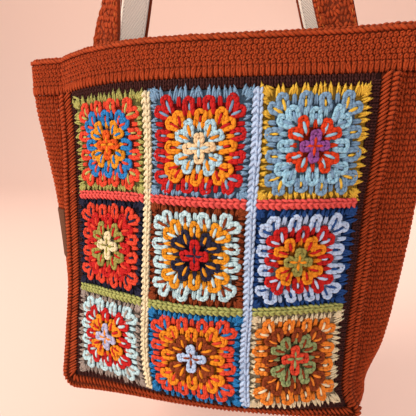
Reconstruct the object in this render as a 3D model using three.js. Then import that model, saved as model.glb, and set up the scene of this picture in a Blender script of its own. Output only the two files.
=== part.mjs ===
// A crochet tote bag: nine granny squares on the front, a plain back, folding side gussets, a flat base
// and two lined straps. It hangs by the straps. Millimetres, +Z up, the front faces -Y.
// The origin is where the bag hangs: the middle of the straps' arch, on the underside of their lining.
// Walls are laid out flat first: u runs across a panel from its middle, t runs down from the rim.
import * as THREE from "three";

// Driving dimensions
const squareSide = 102;
const squareCount = 3;
const joinWidth = 9; // the ridge that joins two squares
const joinProud = 1.5;
const darkBorder = 12;
const rustBorder = 12;
const rimHeight = 38;
const wall = 5; // thickness of the crochet
const gussetDepth = 100;
const cornerRadius = 20;
const seamWidth = 10; // the raised seam round each panel
const gap = 0.4; // between neighbouring pieces
const borderGap = 1; // between pieces of different make, such as the rim and a panel
const wallSlack = 0.2; // room behind a panel's curved wall, as a share of the wall
const strapWidth = 38;
const strapThickness = 5;
const frontStrapSpacing = 247; // between the legs' middles, where they meet the rim
const frontStrapShift = 9.5; // the straps sit this far right of the panel's middle
const backStrapSpacing = 230;
const backStrapShift = 1;
const strapTurn = 25; // degrees the front strap's left leg turns outward above the rim
const strapTail = 32; // sewn down inside the rim
const strapRise = 268; // from the rim to the underside of the arch
const strapClearance = 1; // between the rim's inside and a strap's tail
const strapLean = 0.26; // how far a strap leans in, for each millimetre up
const archReach = 70; // half the width of the arch's flat top
const webbingWidth = 31;
const webbingThickness = 1.4;
const patchHeight = 62;
const patchTop = 176; // below the rim
const patchThickness = 1.2;

// How the bag hangs: a row for each height. down is a share of the panel's height, the spreads are shares of
// the gusset's depth and say how far each panel's edges stand from the middle. The bellies and the shift are
// shares of the panel's width, the folds of the gusset's depth. peak is where the front is fullest, as a
// share of its half width, and twist is in degrees about the vertical.
const columns = [
  "spread", "belly", "peak", "twist", "shift", "backSpread", "backBelly", "leftFold", "rightFold",
];
const sectionRows = [
  { down: 0.0, row: [0.135, 0.099, -0.21, 2.6, 0.013, 0.17, 0.085, 0.46, 0.45] },
  { down: 0.13, row: [0.18, 0.129, -0.08, 1.8, 0.018, 0.2, 0.09, 0.48, 0.44] },
  { down: 0.26, row: [0.21, 0.145, 0.07, 1.7, 0.018, 0.24, 0.095, 0.4, 0.42] },
  { down: 0.4, row: [0.24, 0.158, 0.16, 1.6, 0.01, 0.27, 0.1, 0.29, 0.4] },
  { down: 0.53, row: [0.235, 0.162, 0.08, 0.8, 0.001, 0.29, 0.1, 0.22, 0.38] },
  { down: 0.67, row: [0.25, 0.172, 0.05, -0.7, -0.008, 0.3, 0.09, 0.15, 0.35] },
  { down: 0.8, row: [0.27, 0.165, 0.03, -1.9, -0.021, 0.3, 0.07, 0.09, 0.3] },
  { down: 0.94, row: [0.35, 0.146, 0.2, -2.7, -0.02, 0.3, 0.04, 0.07, 0.12] },
  { down: 1.0, row: [0.35, 0.075, 0.16, -3.0, -0.014, 0.3, 0.03, 0.06, 0.08] },
];
// How far each corner of the panels hangs below a level line, as shares of the panel's width
const cornerDrops = { leftRim: 0.026, leftBase: 0.034, rightRim: -0.01, rightBase: 0.054 };
const cornerPower = 3; // how closely a corner's drop keeps to the corner

// Yarn colours, as the sRGB of each piece's main yarn
const yarn = {
  rust: 0xa8421f,
  darkBrown: 0x4a2420,
  cream: 0xf0cfa4,
  periwinkle: 0xb9c6e6,
  coral: 0xee5350,
  olive: 0xb3ad62,
  denim: 0x7391ab,
  yellow: 0xf0b93c,
  navy: 0x2b2636,
  chestnut: 0x8e3a14,
  royal: 0x27497c,
  grey: 0xa08f84,
  sky: 0x2f8cc6,
  peach: 0xf3c493,
  webbing: 0xd9cdc4,
  patch: 0x6a3d26,
};

// Derived sizes
const gridSide = squareCount * squareSide + (squareCount - 1) * joinWidth;
const pitch = squareSide + joinWidth;
const panelWidth = gridSide + 2 * (darkBorder + rustBorder);
const panelHeight = rimHeight + darkBorder + gridSide + darkBorder + rustBorder;
const half = panelWidth / 2;
const gridTop = rimHeight + darkBorder;
const seamRadius = Math.max(seamWidth / 2, wall);
const seamSetback = Math.max(wall * (1 + wallSlack), seamRadius + borderGap);

// Mesh resolution
const squareSteps = 5;
const panelSteps = 14;
const stripSteps = 10;
const halfBaseSteps = 8;
const cornerSteps = 4;
const gussetSteps = 7;
const strapSteps = 20;
const strapColumns = 3;
const seamSides = 6;
const walkSteps = 12;

const sections = new THREE.CubicInterpolant(
  sectionRows.map((row) => row.down),
  sectionRows.flatMap(({ row }) => row),
  columns.length,
);

function sectionAt(t) {
  const values = sections.evaluate(THREE.MathUtils.clamp(t / panelHeight, 0, 1));
  return Object.fromEntries(columns.map((name, i) => [name, values[i]]));
}

// How far a panel stands from the bag's middle, at a share of its half width
function standOff(side, row, across) {
  const quarter = Math.PI / 2;
  if (side > 0) return row.backSpread * gussetDepth + row.backBelly * panelWidth * Math.cos(quarter * across);
  const warped = (across - row.peak) / (1 - row.peak * across);
  return row.spread * gussetDepth + row.belly * panelWidth * Math.cos(quarter * warped);
}

// How far a corner pulls the panel down
function cornerDrop(u, t) {
  const share = t / panelHeight;
  const { leftRim, leftBase, rightRim, rightBase } = cornerDrops;
  const ends = u < 0 ? [leftRim, leftBase] : [rightRim, rightBase];
  return THREE.MathUtils.lerp(...ends, share) * panelWidth * Math.abs(u / half) ** cornerPower;
}

// The outer surface of a panel at flat (u, t): side is -1 for the front and 1 for the back. The walk out
// from the middle keeps the panel's flat width.
function panelSurface(side, u, t) {
  const row = sectionAt(t);
  let x = 0;
  let off = standOff(side, row, 0);
  for (let i = 1; i <= walkSteps; i++) {
    const next = standOff(side, row, (u / half) * (i / walkSteps));
    x += Math.sign(u) * Math.sqrt((u / walkSteps) ** 2 - (next - off) ** 2);
    off = next;
  }
  const y = side * off;
  const twist = THREE.MathUtils.degToRad(row.twist);
  return new THREE.Vector3(
    x * Math.cos(twist) + y * Math.sin(twist) + row.shift * panelWidth,
    -x * Math.sin(twist) + y * Math.cos(twist),
    -strapRise - t - cornerDrop(u, t),
  );
}

// The panel's outward normal at flat (u, t)
function panelNormal(side, u, t) {
  const step = 1;
  const alongU = panelSurface(side, u + step, t).sub(panelSurface(side, u - step, t));
  const alongT = panelSurface(side, u, t + step).sub(panelSurface(side, u, t - step));
  return alongU.cross(alongT).multiplyScalar(side).normalize();
}

// A point of a panel, raised from its outer surface: a negative rise goes into the wall.
function panelPoint(side, u, t, rise) {
  return panelSurface(side, u, t).addScaledVector(panelNormal(side, u, t), rise);
}

// The edge of a panel in flat coordinates, from the left rim round the base to the right rim,
// with the direction that points out of the panel.
function edgePath(inset, top = rimHeight + borderGap, radius = cornerRadius - inset) {
  const side = half - inset;
  const bottom = panelHeight - inset;
  const path = [];
  for (let i = 0; i < stripSteps; i++) {
    const t = THREE.MathUtils.lerp(top, bottom - radius, i / stripSteps);
    path.push({ u: -side, t, outU: -1, outT: 0 });
  }
  for (let i = 0; i < cornerSteps; i++) {
    const angle = (Math.PI / 2) * (i / cornerSteps);
    const [outU, outT] = [-Math.cos(angle), Math.sin(angle)];
    path.push({ u: -side + radius + radius * outU, t: bottom - radius + radius * outT, outU, outT });
  }
  for (let i = 0; i <= halfBaseSteps; i++) {
    const u = THREE.MathUtils.lerp(-side + radius, 0, i / halfBaseSteps);
    path.push({ u, t: bottom, outU: 0, outT: 1 });
  }
  const mirrored = path.slice(0, -1).reverse();
  return [...path, ...mirrored.map((p) => ({ ...p, u: -p.u, outU: -p.outU }))];
}

// A point of the strip that joins the two panels: place is a point of edgePath, turn runs from -1 at the
// front seam to 1 at the back seam, and rise is measured from the strip's outer face.
function gussetPoint(place, turn, rise, setback = seamSetback + gap) {
  const front = panelSurface(-1, place.u, place.t);
  const back = panelSurface(1, place.u, place.t);
  const middle = front.clone().add(back).multiplyScalar(0.5);
  const halfway = back.sub(front).multiplyScalar(0.5);
  const facing = Math.abs(panelNormal(-1, place.u, place.t).dot(halfway.clone().normalize()));
  const spread = halfway.length() - setback * THREE.MathUtils.lerp(1, 1 / facing, place.outT);
  const row = sectionAt(place.t);
  const fold = (place.u < 0 ? row.leftFold : row.rightFold) * gussetDepth * Math.abs(place.outU);
  const power = 1 + (spread / (gussetDepth / 2)) ** 2;
  const angle = (Math.PI / 2) * turn;
  const insideShare = spread / halfway.length();
  const cut = Math.min(0, rise) / halfway.length();
  const along = Math.sin(angle) * (insideShare + cut * Math.abs(place.outU));
  const out = fold * Math.abs(Math.cos(angle)) ** power + rise;
  return middle
    .addScaledVector(halfway, along)
    .add(new THREE.Vector3(place.outU, 0, -place.outT).multiplyScalar(out));
}

// A closed solid from two facing grids of points. A ring's columns meet, and points that coincide
// become one vertex, so a grid may close to a fan at a corner.
function shell(rows, cols, outer, inner, ring = false) {
  const positions = [];
  const indices = [];
  const known = new Map();
  const vertex = (point) => {
    const key = point.toArray().map((value) => value.toFixed(3)).join();
    if (!known.has(key)) {
      known.set(key, positions.length / 3);
      positions.push(...point.toArray());
    }
    return known.get(key);
  };
  const grids = [outer, inner].map((face) =>
    Array.from({ length: rows + 1 }, (_, i) =>
      Array.from({ length: cols + 1 }, (_, j) => vertex(face(i, ring && j === cols ? 0 : j))),
    ),
  );
  const triangle = (a, b, c) => {
    if (a !== b && b !== c && c !== a) indices.push(a, b, c);
  };
  const quad = (a, b, c, d) => {
    triangle(a, b, c);
    triangle(a, c, d);
  };
  const [out, inside] = grids;
  for (let i = 0; i < rows; i++)
    for (let j = 0; j < cols; j++) {
      quad(out[i][j], out[i + 1][j], out[i + 1][j + 1], out[i][j + 1]);
      quad(inside[i][j], inside[i][j + 1], inside[i + 1][j + 1], inside[i + 1][j]);
    }
  for (let j = 0; j < cols; j++) {
    quad(out[0][j], out[0][j + 1], inside[0][j + 1], inside[0][j]);
    quad(out[rows][j + 1], out[rows][j], inside[rows][j], inside[rows][j + 1]);
  }
  if (!ring)
    for (let i = 0; i < rows; i++) {
      quad(out[i + 1][0], out[i][0], inside[i][0], inside[i + 1][0]);
      quad(out[i][cols], out[i + 1][cols], inside[i + 1][cols], inside[i][cols]);
    }
  const geometry = new THREE.BufferGeometry();
  geometry.setAttribute("position", new THREE.Float32BufferAttribute(positions, 3));
  geometry.setIndex(indices);
  geometry.computeVertexNormals();
  return geometry;
}

const bag = new THREE.Group();

function add(name, geometry, color, roughness = 0.9) {
  const material = new THREE.MeshStandardMaterial({ color, roughness, metalness: 0 });
  const mesh = new THREE.Mesh(geometry, material);
  mesh.name = name;
  bag.add(mesh);
}

// A rectangle of a panel, from u0 to u1 and t0 to t1, less the gap to its neighbours
function patchOfPanel(side, [u0, u1], [t0, t1], uSteps, tSteps, proud = 0) {
  const at = (rise) => (i, j) => {
    const u = THREE.MathUtils.lerp(u0 + gap / 2, u1 - gap / 2, (side < 0 ? j : uSteps - j) / uSteps);
    const t = THREE.MathUtils.lerp(t0 + gap / 2, t1 - gap / 2, i / tSteps);
    return panelPoint(side, u, t, rise);
  };
  return shell(tSteps, uSteps, at(proud), at(-wall));
}

function squares() {
  const edgeYarns = [
    ["olive", "denim", "yellow"],
    ["navy", "chestnut", "royal"],
    ["grey", "sky", "peach"],
  ];
  for (let row = 0; row < squareCount; row++)
    for (let column = 0; column < squareCount; column++) {
      const u = -gridSide / 2 + column * pitch;
      const t = gridTop + row * pitch;
      const tile = patchOfPanel(-1, [u, u + squareSide], [t, t + squareSide], squareSteps, squareSteps);
      const name = `granny_square_row${row + 1}_column${column + 1}`;
      add(name, tile, yarn[edgeYarns[row][column]]);
    }
}

function joiningRidges() {
  const uprightYarns = ["cream", "periwinkle"];
  uprightYarns.forEach((color, i) => {
    const u = -gridSide / 2 + squareSide + i * pitch;
    const range = [gridTop, gridTop + gridSide];
    const ridge = patchOfPanel(-1, [u, u + joinWidth], range, 2, 2 * stripSteps, joinProud);
    add(`joining_ridge_upright_${color}`, ridge, yarn[color]);
  });
  const levelYarns = ["coral", "olive"];
  levelYarns.forEach((color, row) => {
    const t = gridTop + squareSide + row * pitch;
    for (let column = 0; column < squareCount; column++) {
      const u = -gridSide / 2 + column * pitch;
      const ridge = patchOfPanel(-1, [u, u + squareSide], [t, t + joinWidth], squareSteps, 2, joinProud);
      add(`joining_ridge_level_${color}_${column + 1}`, ridge, yarn[color]);
    }
  });
}

// The dark frame round the squares: a ring between two rectangles
function darkFrame() {
  const corners = (reach) => [
    [-gridSide / 2 - reach, gridTop - reach],
    [gridSide / 2 + reach, gridTop - reach],
    [gridSide / 2 + reach, gridTop + gridSide + reach],
    [-gridSide / 2 - reach, gridTop + gridSide + reach],
  ];
  const reaches = [darkBorder - borderGap, gap];
  const steps = squareCount * squareSteps;
  const at = (rise) => (i, j) => {
    const ring = corners(reaches[i]);
    const from = ring[Math.floor(j / steps) % 4];
    const to = ring[(Math.floor(j / steps) + 1) % 4];
    const share = (j % steps) / steps;
    const [u, t] = from.map((value, k) => THREE.MathUtils.lerp(value, to[k], share));
    return panelPoint(-1, u, t, rise);
  };
  add("dark_frame", shell(1, 4 * steps, at(0), at(-wall), true), yarn.darkBrown);
}

// The rust edge of the front panel: down the left side, round the base corners and up the right side
function rustEdge() {
  const inner = edgePath(rustBorder, rimHeight + borderGap, 0);
  const outer = edgePath(seamSetback);
  const rails = [inner, outer];
  const at = (rise) => (i, j) => panelPoint(-1, rails[i][j].u, rails[i][j].t, rise);
  add("rust_edge", shell(1, outer.length - 1, at(0), at(-wall)), yarn.rust);
}

// Each row of the back joins a point of the left edge to its twin on the right edge.
function backPanel() {
  const rows = stripSteps + cornerSteps;
  const leftEdge = edgePath(seamSetback).slice(0, rows + 1);
  const at = (rise) => (i, j) => {
    const { u, t } = leftEdge[i];
    return panelPoint(1, THREE.MathUtils.lerp(-u, u, j / panelSteps), t, rise);
  };
  add("back_panel", shell(rows, panelSteps, at(0), at(-wall)), yarn.rust);
}

// The rim goes round all four sides in one piece.
function rimBand() {
  const gussetTurns = Array.from({ length: gussetSteps + 1 }, (_, i) => -1 + (2 * i) / gussetSteps);
  const panelShares = Array.from({ length: panelSteps - 1 }, (_, i) => (i + 1) / panelSteps);
  const loop = [
    ...panelShares.map((share) => ({ side: -1, u: THREE.MathUtils.lerp(-half, half, share) })),
    ...gussetTurns.map((turn) => ({ u: half, outU: 1, turn })),
    ...panelShares.map((share) => ({ side: 1, u: THREE.MathUtils.lerp(half, -half, share) })),
    ...gussetTurns.toReversed().map((turn) => ({ u: -half, outU: -1, turn })),
  ];
  const rows = 2;
  const at = (rise) => (i, j) => {
    const t = (rimHeight - gap / 2) * (i / rows);
    const place = loop[j];
    if (place.side) return panelPoint(place.side, place.u, t, rise);
    return gussetPoint({ ...place, t, outT: 0 }, place.turn, rise, 0);
  };
  add("rim_band", shell(rows, loop.length, at(0), at(-wall), true), yarn.rust);
}

// The strip between the seams: a side gusset with its base corner, left or right, and the base
function gussets() {
  const path = edgePath(0, rimHeight + gap);
  const sideCount = stripSteps + cornerSteps;
  const turns = Array.from({ length: gussetSteps + 1 }, (_, i) => 1 - (2 * i) / gussetSteps);
  const strip = (name, places) => {
    const at = (rise) => (i, j) => gussetPoint(places[i], turns[j], rise);
    add(name, shell(places.length - 1, gussetSteps, at(0), at(-wall)), yarn.rust);
  };
  const base = path.slice(sideCount, path.length - sideCount);
  const [first, last] = [base[0], base[base.length - 1]];
  base[0] = { ...first, u: first.u + gap };
  base[base.length - 1] = { ...last, u: last.u - gap };
  strip("left_gusset", path.slice(0, sideCount + 1));
  strip("base", base);
  strip("right_gusset", path.slice(path.length - sideCount - 1));
}

// The raised seam along a panel's edge: a small tube that follows the corner of the bag
function seam(side) {
  const path = edgePath(0, rimHeight + 2 * gap);
  const centres = path.map((place) => panelSurface(side, place.u, place.t));
  const at = (radius) => (i, j) => {
    const before = centres[Math.max(0, i - 1)];
    const after = centres[Math.min(path.length - 1, i + 1)];
    const tangent = after.clone().sub(before).normalize();
    const out = new THREE.Vector3(path[i].outU, 0, -path[i].outT);
    const across = new THREE.Vector3().crossVectors(tangent, out).normalize();
    const lift = new THREE.Vector3().crossVectors(tangent, across);
    const angle = (2 * Math.PI * j) / seamSides;
    return centres[i]
      .clone()
      .addScaledVector(across, radius * Math.cos(angle))
      .addScaledVector(lift, radius * Math.sin(angle));
  };
  const name = side < 0 ? "front_seam" : "back_seam";
  add(name, tube(path.length - 1, seamSides, at(seamRadius)), yarn.rust);
}

// A closed tube: rings of points along a path, capped at both ends
function tube(rows, sides, point) {
  const positions = [];
  const indices = [];
  for (let i = 0; i <= rows; i++)
    for (let j = 0; j < sides; j++) positions.push(...point(i, j).toArray());
  for (let i = 0; i < rows; i++)
    for (let j = 0; j < sides; j++) {
      const [a, b] = [i * sides + j, i * sides + ((j + 1) % sides)];
      indices.push(a, b, b + sides, a, b + sides, a + sides);
    }
  for (let j = 1; j < sides - 1; j++) {
    const last = rows * sides;
    indices.push(0, j + 1, j, last, last + j, last + j + 1);
  }
  const geometry = new THREE.BufferGeometry();
  geometry.setAttribute("position", new THREE.Float32BufferAttribute(positions, 3));
  geometry.setIndex(indices);
  geometry.computeVertexNormals();
  return geometry;
}

// One leg of a strap, from its tail inside the rim up to the middle of the arch. Each section takes a place
// across the strap and a rise from the middle of its thickness, and gives the point there. The strap turns
// a quarter between the rim and the arch, so that its lining comes to face the hook.
function strapLeg(side, hand) {
  const [shift, spacing] = side < 0 ? [frontStrapShift, frontStrapSpacing] : [backStrapShift, backStrapSpacing];
  const u = shift + (hand * spacing) / 2;
  const depth = wall + strapClearance + strapThickness / 2;
  const tail = [1, 0.5, 0].map(
    (share) => (across, rise) => panelPoint(side, u - side * hand * across, strapTail * share, rise - depth),
  );
  const foot = panelPoint(side, u, 0, -depth);
  const lift = webbingThickness + gap + strapThickness / 2;
  const top = new THREE.Vector3(0, side * (strapWidth / 2 + strapThickness / 2), lift);
  const curve = new THREE.CubicBezierCurve3(
    foot,
    foot.clone().add(new THREE.Vector3(-hand * strapLean, 0, 1).multiplyScalar(strapRise / 2)),
    top.clone().add(new THREE.Vector3(hand * archReach, 0, 0)),
    top,
  );
  const faceOut = panelNormal(side, u, 0);
  const turn = side < 0 && hand < 0 ? THREE.MathUtils.degToRad(strapTurn) : 0;
  const free = Array.from({ length: strapSteps }, (_, i) => {
    const share = (i + 1) / strapSteps;
    const centre = curve.getPointAt(share);
    const along = curve.getTangentAt(share).multiplyScalar(-hand);
    const archOut = new THREE.Vector3(0, -1, 0).cross(along);
    const out = faceOut.clone().lerp(archOut, THREE.MathUtils.smoothstep(share, 0.1, 1));
    out.addScaledVector(along, -out.dot(along)).normalize();
    const turned = THREE.MathUtils.smoothstep(share, 0, 0.2) - THREE.MathUtils.smoothstep(share, 0.3, 0.9);
    out.applyAxisAngle(along, -turn * turned);
    const acrossWay = new THREE.Vector3().crossVectors(out, along);
    return (across, rise) => centre.clone().addScaledVector(acrossWay, across).addScaledVector(out, rise);
  });
  return [...tail, ...free];
}

function strap(side) {
  const right = strapLeg(side, 1);
  const sections = [...strapLeg(side, -1), ...right.slice(0, -1).reverse()];
  const band = (width, low, high) => {
    const edge = (rise) => (i, j) => sections[i]((j / strapColumns - 0.5) * width, rise);
    return shell(sections.length - 1, strapColumns, edge(high), edge(low));
  };
  const name = side < 0 ? "front" : "back";
  const face = strapThickness / 2;
  add(`${name}_strap`, band(strapWidth, -face, face), yarn.rust);
  const lining = -face - gap;
  add(`${name}_strap_webbing`, band(webbingWidth, lining - webbingThickness, lining), yarn.webbing);
}

// A brown patch on the left gusset, wrapped over its fold
function sidePatch() {
  const rows = 4;
  const [turnFrom, turnTo] = [0.5, -0.7];
  const at = (rise) => (i, j) => {
    const t = patchTop + (patchHeight * i) / rows;
    const turn = THREE.MathUtils.lerp(turnFrom, turnTo, j / gussetSteps);
    return gussetPoint({ u: -half, t, outU: -1, outT: 0 }, turn, rise);
  };
  add("side_patch", shell(rows, gussetSteps, at(borderGap + patchThickness), at(borderGap)), yarn.patch);
}

squares();
joiningRidges();
darkFrame();
rustEdge();
rimBand();
backPanel();
gussets();
seam(-1);
seam(1);
sidePatch();
strap(-1);
strap(1);

export default bag;
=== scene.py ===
"""The crochet bag's visible model, in metres and in the CAD model's frame.

Each piece is laid out flat in millimetres: two lengths over a surface, and a rise from it. Its stitches are
yarn strands that a Surface then carries to their place in space, over a thin shell that closes the wall.
"""
import math

import bpy
import numpy as np
from mathutils import Matrix


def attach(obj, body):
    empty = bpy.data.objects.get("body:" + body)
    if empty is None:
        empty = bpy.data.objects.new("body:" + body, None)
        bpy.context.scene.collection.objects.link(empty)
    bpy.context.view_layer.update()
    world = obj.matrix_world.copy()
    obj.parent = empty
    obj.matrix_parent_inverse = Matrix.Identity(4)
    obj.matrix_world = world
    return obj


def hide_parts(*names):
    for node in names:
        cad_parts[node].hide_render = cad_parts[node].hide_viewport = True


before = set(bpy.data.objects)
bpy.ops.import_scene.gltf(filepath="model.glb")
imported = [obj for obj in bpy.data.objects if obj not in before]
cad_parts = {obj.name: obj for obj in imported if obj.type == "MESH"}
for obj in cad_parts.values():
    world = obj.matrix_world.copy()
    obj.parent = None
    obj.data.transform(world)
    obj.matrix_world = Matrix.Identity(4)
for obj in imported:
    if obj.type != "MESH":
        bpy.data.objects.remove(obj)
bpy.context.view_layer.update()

MM = 0.001

# The CAD model's named sizes, in millimetres
SQUARE_SIDE = 102.0
SQUARE_COUNT = 3
JOIN_WIDTH = 9.0
DARK_BORDER = 12.0
RUST_BORDER = 12.0
RIM_HEIGHT = 38.0
WALL = 5.0
GUSSET_DEPTH = 100.0
CORNER_RADIUS = 20.0
SEAM_RADIUS = 5.0
GAP = 0.4
BORDER_GAP = 1.0
STRAP_WIDTH = 38.0
STRAP_THICKNESS = 5.0
STRAP_SPACING = {-1: 247.0, 1: 230.0}  # front, then back
STRAP_SHIFT = {-1: 9.5, 1: 1.0}
STRAP_TURN = 25.0
STRAP_TAIL = 32.0
STRAP_RISE = 268.0
STRAP_CLEARANCE = 1.0
STRAP_LEAN = 0.26
ARCH_REACH = 70.0
WEBBING_WIDTH = 31.0
WEBBING_THICKNESS = 1.4
PATCH_HEIGHT = 62.0
PATCH_TOP = 176.0
PATCH_THICKNESS = 1.2

GRID_SIDE = SQUARE_COUNT * SQUARE_SIDE + (SQUARE_COUNT - 1) * JOIN_WIDTH
PITCH = SQUARE_SIDE + JOIN_WIDTH
PANEL_WIDTH = GRID_SIDE + 2 * (DARK_BORDER + RUST_BORDER)
PANEL_HEIGHT = RIM_HEIGHT + DARK_BORDER + GRID_SIDE + DARK_BORDER + RUST_BORDER
HALF = PANEL_WIDTH / 2
GRID_TOP = RIM_HEIGHT + DARK_BORDER
SEAM_SETBACK = WALL + BORDER_GAP

# How the bag hangs, a row for each height: the same table as the CAD model's
COLUMNS = "spread belly peak twist shift back_spread back_belly left_fold right_fold".split()
DOWN = np.array([0.0, 0.13, 0.26, 0.4, 0.53, 0.67, 0.8, 0.94, 1.0])
SECTIONS = np.array([
    [0.135, 0.099, -0.21, 2.6, 0.013, 0.17, 0.085, 0.46, 0.45],
    [0.18, 0.129, -0.08, 1.8, 0.018, 0.2, 0.09, 0.48, 0.44],
    [0.21, 0.145, 0.07, 1.7, 0.018, 0.24, 0.095, 0.4, 0.42],
    [0.24, 0.158, 0.16, 1.6, 0.01, 0.27, 0.1, 0.29, 0.4],
    [0.235, 0.162, 0.08, 0.8, 0.001, 0.29, 0.1, 0.22, 0.38],
    [0.25, 0.172, 0.05, -0.7, -0.008, 0.3, 0.09, 0.15, 0.35],
    [0.27, 0.165, 0.03, -1.9, -0.021, 0.3, 0.07, 0.09, 0.3],
    [0.35, 0.146, 0.2, -2.7, -0.02, 0.3, 0.04, 0.07, 0.12],
    [0.35, 0.075, 0.16, -3.0, -0.014, 0.3, 0.03, 0.06, 0.08],
])
LEFT_DROPS = (0.026, 0.034)
RIGHT_DROPS = (-0.01, 0.054)
CORNER_POWER = 3
WALK_STEPS = 12

QUARTER = math.pi / 2
SIDE_NAMES = {-1: "front", 1: "back"}
SHEET_MARGIN = 6.0  # how far the panels' sheets run past their edges, for strands that lie over them
RIM_MARGIN = 4.0
STRAP_ACROSS = np.linspace(-STRAP_WIDTH / 2, STRAP_WIDTH / 2, 13)

STITCH = 5.4  # from one stitch to the next along a row
ROW = 5.1  # from one row to the next
RIM_ROW = 4.7
RIDGE_PITCH = 6.0
GUSSET_STITCH = 5.9
SEAM_PITCH = 4.5
STRAP_ROW = 6.0
STRAP_COLUMNS = 5
RUST_STITCH = 10.4  # the length of the slanted stitches of the rust edge
RUST_TUCK = 2.6  # how far the rust edge's shell reaches under the seam
LEFT_COVER = 4.5  # how far the rust stitches of the left side reach over the dark frame
SEWING_INSET = 3.2  # from the tape's edge to its sewing
SELVEDGE = 2.6
PATCH_TURNS = (-0.7, 0.5)  # the patch's edges between the seams, which are at -1 and 1

# Every strand: how flat and how tapered it is, and how much strands differ from one another
FLATNESS = 0.9
TAPER = 0.45
RADIUS_SPREAD = 0.06
TONE_SPREAD = 0.13
TONE_LIMIT = 1.6
TWIST_SHIFT = 40.0  # so that no two strands' plies line up
PLIES = 3
TWIST_LENGTH = 3.2
SHADE_DEPTH = 0.72  # scales each yarn's shade colour, which its ply grooves, strand ends and the shell below are painted towards as shade

FLOOR = -0.76
PICTURE_PIXELS = 416
LENS_PIXELS = 420
SENSOR_WIDTH = 36.0
CAMERA_PLACE = (0.10497, -0.4679, -0.33435)
CAMERA_ANGLES = (13.164, -13.507, -1.245)  # azimuth, elevation and roll, in degrees
LIT_POINT = np.array((0.0, 0.0, -0.45))
LIGHTS = (  # name, place, size, power and colour
    ("key", (-2.2, -1.3, 0.7), 1.1, 74, (1.0, 0.93, 0.84)),
    ("fill", (1.3, -2.3, 0.0), 2.4, 18, (0.92, 0.93, 1.0)),
    ("rear", (1.2, 1.6, 0.8), 1.8, 30, (1.0, 0.96, 0.92)),
)


def stacked(*values):
    """Numbers or arrays side by side, as the last axis of one array of points."""
    return np.stack(np.broadcast_arrays(*values), axis=-1)


def spots(length, pitch):
    """Even spots along a length, about a pitch apart."""
    count = round(length / pitch)
    return (np.arange(count) + 0.5) / count * length


def section_at(t):
    """The table's columns at a length down the panel, by the CAD model's cubic interpolation."""
    share = np.clip(np.asarray(t, float) / PANEL_HEIGHT, 0, 1)
    last = len(DOWN) - 1
    upper = np.clip(np.searchsorted(DOWN, share, side="right"), 1, last)
    lower = upper - 1
    before = np.where(lower > 0, lower - 1, upper)
    after = np.where(upper < last, upper + 1, lower)
    half_step = (DOWN[upper] - DOWN[lower]) / 2
    start = half_step / (DOWN[lower] - DOWN[before])
    end = half_step / (DOWN[after] - DOWN[upper])
    p = (share - DOWN[lower]) / (DOWN[upper] - DOWN[lower])
    squared, cubed = p ** 2, p ** 3
    weights = (
        (before, start * (-cubed + 2 * squared - p)),
        (lower, (1 + start) * cubed - (1.5 + 2 * start) * squared + (start - 0.5) * p + 1),
        (upper, -(1 + end) * cubed + (1.5 + end) * squared + 0.5 * p),
        (after, end * (cubed - squared)),
    )
    values = sum(SECTIONS[index] * weight[..., None] for index, weight in weights)
    return {name: values[..., i] for i, name in enumerate(COLUMNS)}


def stand_off(side, row, across):
    """How far a panel stands from the bag's middle plane, with across from -1 to 1."""
    if side > 0:
        return row["back_spread"] * GUSSET_DEPTH + row["back_belly"] * PANEL_WIDTH * np.cos(QUARTER * across)
    warped = (across - row["peak"]) / (1 - row["peak"] * across)
    return row["spread"] * GUSSET_DEPTH + row["belly"] * PANEL_WIDTH * np.cos(QUARTER * warped)


def corner_drop(u, t):
    """How far the cloth hangs below its flat height, most at the edges."""
    share = t / PANEL_HEIGHT
    left, right = (top + (bottom - top) * share for top, bottom in (LEFT_DROPS, RIGHT_DROPS))
    return np.where(u < 0, left, right) * PANEL_WIDTH * np.abs(u / HALF) ** CORNER_POWER


def panel_surface(side, u, t):
    """The outer surface of the front (side -1) or back (side 1) panel at flat (u, t)."""
    u, t = np.broadcast_arrays(np.asarray(u, float), np.asarray(t, float))
    row = section_at(t)
    x = np.zeros(u.shape)
    off = stand_off(side, row, x)
    for i in range(1, WALK_STEPS + 1):
        following = stand_off(side, row, u / HALF * i / WALK_STEPS)
        x = x + np.sign(u) * np.sqrt(np.maximum((u / WALK_STEPS) ** 2 - (following - off) ** 2, 0))
        off = following
    y = side * off
    twist = np.radians(row["twist"])
    return stacked(
        x * np.cos(twist) + y * np.sin(twist) + row["shift"] * PANEL_WIDTH,
        -x * np.sin(twist) + y * np.cos(twist),
        -STRAP_RISE - t - corner_drop(u, t),
    )


def smoothstep(value, low, high):
    share = np.clip((value - low) / (high - low), 0, 1)
    return share * share * (3 - 2 * share)


def unit(vectors):
    return vectors / np.maximum(np.linalg.norm(vectors, axis=-1, keepdims=True), 1e-9)


def panel_normal(side, u, t):
    along_u = panel_surface(side, u + 1, t) - panel_surface(side, u - 1, t)
    along_t = panel_surface(side, u, t + 1) - panel_surface(side, u, t - 1)
    return unit(np.cross(along_u, along_t) * side)


def square_to(tangent, vectors):
    """The vectors turned square to the tangent."""
    return unit(vectors - tangent * np.sum(vectors * tangent, axis=1, keepdims=True))


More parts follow.
